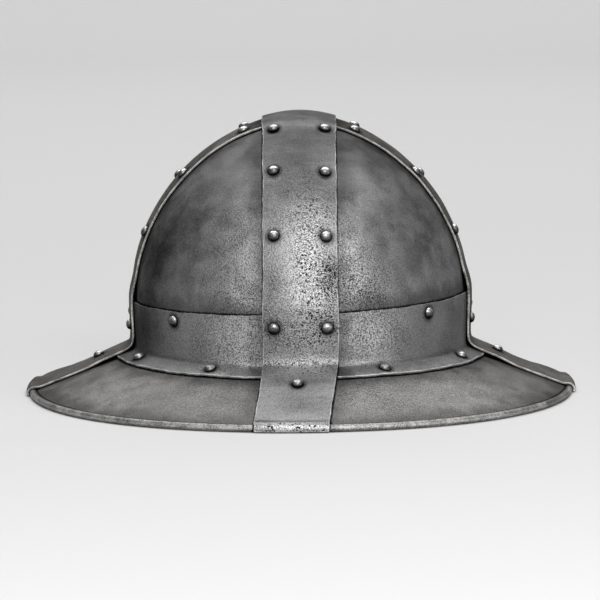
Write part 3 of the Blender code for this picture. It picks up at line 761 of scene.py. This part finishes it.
def rivet(shell, seat, index, material):
    """A domed head, a shank and a hammered tail, with its own slight unevenness."""
    head, tail = shell.rivet_head_radius, shell.rivet_tail_radius
    shank = shell.rivet_shank_radius
    dome = np.linspace(0.06, math.pi / 2, 11)
    profile = [(head * math.sin(a), shell.rivet_head_height * math.cos(a) ** 0.9) for a in dome]
    profile += [(head * 0.985, -HEAD_SINK), (shank, -HEAD_SINK), (shank, -seat.shank)]
    profile += [(tail, -seat.shank)]
    dome, low = np.linspace(math.pi / 2, 0.1, 7)[1:], shell.rivet_tail_height
    profile += [(tail * math.sin(a), -seat.shank - low * math.cos(a)) for a in dome]
    profile = np.array(profile)
    around = np.linspace(0.0, 2 * math.pi, RIVET_SIDES, endpoint=False)
    phase = 2.4 * index
    wobble = 1 + 0.022 * np.sin(2 * around + phase) + 0.014 * np.sin(3 * around + 1.7 * phase)
    flat = shell.rivet_head_height * (0.96 + 0.03 * math.sin(5.1 * index))
    radius = profile[:, :1] * wobble
    height = np.minimum(profile[:, 1:] + 0.0 * around, flat + 0.15 * (profile[:, 1:] - flat))
    turn = Vector(seat.axis).to_track_quat("Z", "Y").to_matrix()
    local = np.stack([radius * np.cos(around), radius * np.sin(around), height], axis=-1)
    points = local @ np.array(turn).T + seat.point
    rows = len(profile)
    top, bottom = range(RIVET_SIDES), range((rows - 1) * RIVET_SIDES, rows * RIVET_SIDES)
    faces = ring_loops(rows, RIVET_SIDES) + [list(top)[::-1], list(bottom)]
    marks = {
        "own_edge": np.full(height.shape, HEAD_WEAR),
        # The head's lower part takes the seam's black: painted shade, with blackening.
        "under_edge": HEAD_SEAM * np.maximum(height, 0.0),
        "rivet_edge": np.full(height.shape, FAR),
        # Higher points on the head are painted brighter, lower ones darker: painted highlight and
        # shade.
        "shine": (points[..., 2] - seat.point[2]) / head,
        "grit": np.full(height.shape, HEAD_GRIT),
        "outside": np.broadcast_to((profile[:, 1:] > -2 * HEAD_SINK) * 1.0, height.shape),
    }
    return make_piece(seat.node, points, faces, marks, material)


class Wire:
    """A shader socket. Arithmetic on it adds Math nodes to its tree."""

    def __init__(self, tree, socket):
        self.tree, self.socket = tree, socket

    def maths(self, operation, *values):
        inputs = dict(enumerate(values))
        return self.tree.add("ShaderNodeMath", {"operation": operation}, inputs)

    def __add__(self, other):
        return self.maths("ADD", self, other)

    def __radd__(self, other):
        return self.maths("ADD", other, self)

    def __sub__(self, other):
        return self.maths("SUBTRACT", self, other)

    def __rsub__(self, other):
        return self.maths("SUBTRACT", other, self)

    def __mul__(self, other):
        return self.maths("MULTIPLY", self, other)

    def __rmul__(self, other):
        return self.maths("MULTIPLY", other, self)


class Tree:
    """The nodes of one material."""

    def __init__(self, name):
        self.material = bpy.data.materials.new(name)
        self.material.use_nodes = True
        self.tree = self.material.node_tree
        self.tree.nodes.clear()

    def add(self, kind, settings=None, inputs=None, output=0):
        """A node of a type, its settings, and the values or wires of its sockets."""
        node = self.tree.nodes.new(kind)
        for name, value in (settings or {}).items():
            setattr(node, name, value)
        for name, value in (inputs or {}).items():
            if isinstance(value, Wire):
                self.tree.links.new(value.socket, node.inputs[name])
            elif isinstance(value, (tuple, list)) and len(value) == 3:
                socket = node.inputs[name]
                socket.default_value = (*value, 1.0) if socket.type == "RGBA" else value
            else:
                node.inputs[name].default_value = value
        return Wire(self, node.outputs[output]) if node.outputs else node

    def mark(self, name):
        settings = {"attribute_name": name, "attribute_type": "GEOMETRY"}
        return self.add("ShaderNodeAttribute", settings, output="Fac")

    def spot(self):
        return self.add("ShaderNodeTexCoord", output="Object")

    def height(self, spot):
        return self.add("ShaderNodeSeparateXYZ", inputs={"Vector": spot}, output="Z")

    def stretched(self, spot, x, y, z):
        return self.add("ShaderNodeMapping", inputs={"Vector": spot, "Scale": (x, y, z)})

    def noise(self, spot, size, detail=2.0, rough=0.5, warp=0.0):
        """Noise whose features are about this size in metres."""
        inputs = {"Vector": spot, "Scale": 1 / size, "Detail": detail}
        inputs.update({"Roughness": rough, "Distortion": warp})
        return self.add("ShaderNodeTexNoise", inputs=inputs)

    def cells(self, spot, size):
        """How far each point is from the middle of its cell, in shares of the cells' size."""
        return self.add("ShaderNodeTexVoronoi", inputs={"Vector": spot, "Scale": 1 / size})

    def fade(self, wire, start, end):
        """Eases from 0 at start to 1 at end."""
        settings = {"interpolation_type": "SMOOTHSTEP"}
        inputs = {"Value": wire, "From Min": start, "From Max": end}
        return self.add("ShaderNodeMapRange", settings, inputs)

    def blend(self, factor, first, second):
        """Mixes two colours."""
        return self.add("ShaderNodeMix", {"data_type": "RGBA"}, {0: factor, 6: first, 7: second}, 2)

    def finish(self, sockets):
        """Adds the shader with its sockets, and the material's output."""
        shader = self.add("ShaderNodeBsdfPrincipled", inputs=sockets)
        self.add("ShaderNodeOutputMaterial", inputs={"Surface": shader})
        return self.material


# What sets the pieces' steel apart: how bright it is, how much brighter where it is burnished,
# where light is painted on (on a rivet, a highlight high on its head) and at its worn edges, how
# much brown it has, how strongly it is clouded, speckled, pitted, nicked and scratched, how dark
# the painted shade beside a covering edge is, and how much duller the steel is.
Steel = namedtuple(
    "Steel", "name tone gain edge warm cloud speckle pitting nick scratch shade dull"
)
STEELS = {
    "skull": Steel("skull steel", 0.40, 0.24, 0.40, 0.00, 0.07, 0.28, 0.60, 0.28, 0.00, 0.36, 0.04),
    "band": Steel("band steel", 0.40, 0.20, 0.45, 0.00, 0.05, 0.30, 0.70, 0.24, 0.00, 0.30, 0.02),
    "brim": Steel("brim steel", 0.37, 0.20, 0.26, 0.20, 0.04, 0.24, 0.50, 0.20, 0.00, 0.30, 0.02),
    "long": Steel("front strap", 0.40, 0.22, 0.40, 0.00, 0.05, 0.26, 0.95, 0.85, 0.02, 0.20, 0.02),
    "cross": Steel("side strap", 0.28, 0.20, 0.52, 0.40, 0.08, 0.34, 0.70, 0.30, 0.02, 0.40, 0.04),
    # The rivets' large gain paints a highlight high on each head.
    "rivet": Steel("rivet steel", 0.24, 0.80, 0.00, 0.10, 0.04, 0.08, 0.20, 0.0, 0.00, 0.00, -0.10),
}


def steel(kind):
    """Blackened steel: cloudy, speckled and pitted, black in its seams and round its rivets with
    blackening and painted shade, bright where it is worn and where light is painted on.
    """
    look, finish = STEELS[kind], bpy.context.scene.hat_finish
    tree = Tree(look.name)
    spot = tree.spot()
    own_edge, under_edge = tree.mark("own_edge"), tree.mark("under_edge")
    rivet_edge, outside = tree.mark("rivet_edge"), tree.mark("outside")
    shine, grit = tree.mark("shine"), tree.mark("grit")

    clouds = tree.fade(tree.noise(spot, 0.055, 2.0, 0.5, 0.4), 0.34, 0.66)
    mottle = tree.fade(tree.noise(spot, 0.014, 4.0, 0.6, 0.3), 0.30, 0.70)
    grain = tree.noise(spot, 0.0019, 3.0, 0.65)
    speckle = tree.fade(tree.noise(spot, 0.0009, 2.0, 0.7), 0.34, 0.62)
    chips = tree.fade(tree.noise(spot, 0.009, 4.0, 0.6), 0.36, 0.64)
    # Bright by worn patches and painted light; on a rivet's head, a painted highlight up high.
    burnish_and_painted_light = tree.fade(shine + 0.15 * (mottle - 0.5), 0.0, 1.0)
    pitted = tree.fade(tree.noise(spot, 0.006, 2.0), 0.40, 0.62)
    pits = tree.fade(tree.cells(spot, 0.0015), 0.38, 0.14) * (0.4 * pitted + 0.6 * grit)
    nicked = tree.fade(tree.noise(spot, 0.0046, 2.0), 0.42, 0.54)
    nicks = tree.fade(tree.cells(spot, 0.0023) + 0.6 * (grain - 0.5), 0.34, 0.24)
    nicks = nicks * nicked * tree.fade(grit, 0.1, 0.7)
    scratches = tree.fade(tree.noise(tree.stretched(spot, 0.06, 0.06, 1.0), 0.0012, 3.0), 0.5, 0.7)
    coarse = 0.45 + 0.55 * tree.fade(tree.height(spot), 0.165, 0.120)

    # Dark by tarnished patches and painted shade; on a rivet's head, painted shade low down.
    tarnish_and_painted_shade = tree.fade(shine, 0.0, -0.8)
    rough_line = (grain - 0.5) * 0.0016
    # A black line along covering edges and creases: blackening in the seams, and painted shade.
    seam = tree.fade(under_edge + rough_line, 0.0016, 0.0002)
    shade = tree.fade(under_edge + (mottle - 0.5) * 0.003, 0.016, 0.0) * look.shade
    # Darkening round each rivet head, and a black line at its foot: grime and painted shade.
    rivet_grime_and_shade = tree.fade(rivet_edge + rough_line, 0.0040, 0.0) * 0.50
    ring = tree.fade(rivet_edge, 0.0009, 0.0002) * 0.70
    worn = tree.fade(own_edge + rough_line, 0.0012, 0.0003) * outside * (0.3 + 0.7 * chips)

    tone = look.tone + look.cloud * (clouds - 0.5) + look.cloud * (mottle - 0.5)
    tone = tone + burnish_and_painted_light * look.gain - tarnish_and_painted_shade * 0.20
    tone = tone + (speckle - 0.5) * (0.4 + 1.7 * grit) * (look.speckle * coarse)
    tone = tone * (1 - shade) * (1 - rivet_grime_and_shade) * (1 - ring) * (1 - 0.75 * look.pitting * pits)
    tone = tone * (1 - look.nick * nicks)
    tone = tone + look.scratch * scratches * (1 - burnish_and_painted_light)
    tone = (tone + look.edge * worn) * (1 - 0.75 * seam)
    tone = tree.fade(tone, 0.0, 1.0)

    bare = tree.blend(look.warm, tuple(finish.worn), tuple(finish.warm))
    base = tree.blend(tone, tuple(finish.black), bare)
    dull = finish.roughness + look.dull + 0.10 * (mottle - 0.5) + 0.16 * seam
    dull = dull + 0.10 * pits + 0.05 * grit - 0.08 * burnish_and_painted_light - 0.06 * worn
    dents = look.pitting * pits + look.nick * nicks
    relief = finish.grain_depth * grain - finish.pit_depth * dents
    relief = (relief + (0.3 * finish.grain_depth) * speckle) * coarse
    bump = tree.add("ShaderNodeBump", inputs={"Strength": 1.0, "Distance": 1.0, "Height": relief})
    sockets = {"Base Color": base, "Metallic": 1 - 0.4 * worn, "Roughness": dull, "Normal": bump}
    return tree.finish({**sockets, "Specular Tint": (0.35, 0.35, 0.35)})


class HAT_OT_skull(bpy.types.Operator):
    """Make the four domed plates of the skull"""

    bl_idname = "hat.skull"
    bl_label = "Skull Plates"

    def execute(self, context):
        shell, seats, material = Shell(context.scene.hat_sizes), rivet_seats(), steel("skull")
        for name, quarter in QUARTERS.items():
            skull_plate(shell, seats, name, quarter, material)
        return {"FINISHED"}


class HAT_OT_band(bpy.types.Operator):
    """Make the four quarters of the brow band"""

    bl_idname = "hat.band"
    bl_label = "Brow Band"

    def execute(self, context):
        shell, seats, material = Shell(context.scene.hat_sizes), rivet_seats(), steel("band")
        for name, quarter in QUARTERS.items():
            brow_band(shell, seats, name, quarter, material)
        return {"FINISHED"}


class HAT_OT_brim(bpy.types.Operator):
    """Make the brim with its rolled edge"""

    bl_idname = "hat.brim"
    bl_label = "Brim"

    def execute(self, context):
        brim(Shell(context.scene.hat_sizes), rivet_seats(), steel("brim"))
        return {"FINISHED"}


class HAT_OT_straps(bpy.types.Operator):
    """Make the cross strap, and the long strap that lies over it"""

    bl_idname = "hat.straps"
    bl_label = "Straps"

    def execute(self, context):
        shell, seats = Shell(context.scene.hat_sizes), rivet_seats()
        long, cross = shell.long_strap_width, shell.cross_strap_width
        sides, ends = ("right", "left"), ("front", "back")
        strap(shell, seats, "cross_strap", sides, cross, long, False, steel("cross"))
        strap(shell, seats, "long_strap", ends, long, cross, True, steel("long"))
        return {"FINISHED"}


class HAT_OT_rivets(bpy.types.Operator):
    """Make the rivets, each on its packed seat"""

    bl_idname = "hat.rivets"
    bl_label = "Rivets"

    def execute(self, context):
        shell, material = Shell(context.scene.hat_sizes), steel("rivet")
        for index, seat in enumerate(rivet_seats()):
            rivet(shell, seat, index, material)
        return {"FINISHED"}


def soft_light(name, place, aim, width, height, power):
    """A rectangular light that faces a point."""
    light = bpy.data.lights.new(name, "AREA")
    light.shape = "RECTANGLE"
    light.size, light.size_y, light.energy = width, height, power
    lamp = bpy.data.objects.new(name, light)
    lamp.location = place
    lamp.rotation_euler = (Vector(aim) - Vector(place)).to_track_quat("-Z", "Y").to_euler()
    bpy.context.scene.collection.objects.link(lamp)


def paper(look):
    """Pale paper that lies under the hat and curves up behind it."""
    depth, bend, high, half = 3.8, 1.2, 5.6, 7.0
    turn = np.linspace(0.0, math.pi / 2, 25)
    profile = [(-half, 0.0), (0.0, 0.0), (depth * 0.5, 0.0)]
    profile += [(depth + bend * math.sin(a), bend * (1 - math.cos(a))) for a in turn]
    profile += [(depth + bend, high)]
    across = np.linspace(-half, half, 9)
    points = np.array([[(x, y, z) for x in across] for y, z in profile])
    mesh = bpy.data.meshes.new("paper")
    faces = loops(len(profile), len(across), 0, True)
    mesh.from_pydata(points.reshape(-1, 3).tolist(), [], faces.tolist())
    mesh.shade_smooth()
    tree = Tree("pale paper")
    spot = tree.spot()
    fibre = tree.noise(spot, 0.002, 3.0, 0.6)
    tint = tree.blend(0.04 * fibre, tuple(look.floor), (0.70, 0.70, 0.69))
    bump = tree.add("ShaderNodeBump", inputs={"Distance": 1.0, "Height": 0.00002 * fibre})
    mesh.materials.append(tree.finish({"Base Color": tint, "Roughness": 0.9, "Normal": bump}))
    sheet = bpy.data.objects.new("paper", mesh)
    bpy.context.scene.collection.objects.link(sheet)


def camera(look):
    """The camera, at the photograph's angle and frame."""
    lift, roll = look.camera_elevation, look.camera_roll
    across, up = Vector((1, 0, 0)), Vector((0, math.sin(lift), math.cos(lift)))
    back = Vector((0, -math.cos(lift), math.sin(lift)))
    right = across * math.cos(roll) - up * math.sin(roll)
    upward = up * math.cos(roll) + across * math.sin(roll)
    target = Vector((look.look_aside, 0, look.look_height))
    view = bpy.data.objects.new("camera", bpy.data.cameras.new("camera"))
    turn = Matrix((right, upward, back)).transposed().to_4x4()
    view.matrix_world = Matrix.Translation(target + back * look.camera_distance) @ turn
    view.data.lens = look.lens
    bpy.context.scene.collection.objects.link(view)
    bpy.context.scene.camera = view


class HAT_OT_stage(bpy.types.Operator):
    """Set the paper, the lights and the camera"""

    bl_idname = "hat.stage"
    bl_label = "Studio"

    def execute(self, context):
        look = context.scene.hat_stage
        paper(look)
        middle = (0, 0, 0.09)
        soft_light("front light", (0.1, -1.8, 1.35), middle, 1.2, 1.9, look.front_power)
        soft_light("top light", (0.0, 0.6, 2.3), middle, 2.4, 2.0, look.top_power)
        soft_light("left light", (-1.6, -1.3, 0.6), middle, 0.5, 0.9, look.left_power)
        soft_light("right light", (1.6, -1.3, 0.6), middle, 0.5, 0.9, look.right_power)
        soft_light("paper light", (0.0, 2.0, 4.8), (0, 4.6, 1.0), 6.0, 1.3, look.paper_power)
        world = bpy.data.worlds.new("room")
        world.use_nodes = True
        world.node_tree.nodes["Background"].inputs["Color"].default_value = (*look.surroundings, 1)
        context.scene.world = world
        context.scene.view_settings.view_transform = "Standard"
        camera(look)
        return {"FINISHED"}


OPERATORS = (HAT_OT_skull, HAT_OT_band, HAT_OT_brim, HAT_OT_straps, HAT_OT_rivets, HAT_OT_stage)
GROUPS = {"hat_sizes": HatSizes, "hat_finish": SteelFinish, "hat_stage": StageLook}


class HAT_PT_panel(bpy.types.Panel):
    """Sizes, colours and steps of the kettle hat"""

    bl_idname = "HAT_PT_panel"
    bl_label = "Kettle Hat"
    bl_space_type = "VIEW_3D"
    bl_region_type = "UI"
    bl_category = "Kettle Hat"

    def draw(self, context):
        for operator in OPERATORS:
            self.layout.operator(operator.bl_idname)
        for name, group in GROUPS.items():
            column = self.layout.column(align=True)
            for field in group.__annotations__:
                column.prop(getattr(context.scene, name), field)


def register():
    for name, group in GROUPS.items():
        bpy.utils.register_class(group)
        setattr(bpy.types.Scene, name, bpy.props.PointerProperty(type=group))
    for made in (*OPERATORS, HAT_PT_panel):
        bpy.utils.register_class(made)


def unregister():
    for made in reversed((*OPERATORS, HAT_PT_panel)):
        bpy.utils.unregister_class(made)
    for name, group in GROUPS.items():
        delattr(bpy.types.Scene, name)
        bpy.utils.unregister_class(group)


def main():
    register()
    bpy.ops.hat.skull()
    bpy.ops.hat.band()
    bpy.ops.hat.brim()
    bpy.ops.hat.straps()
    bpy.ops.hat.rivets()
    bpy.ops.hat.stage()


if __name__ == "__main__":
    main()
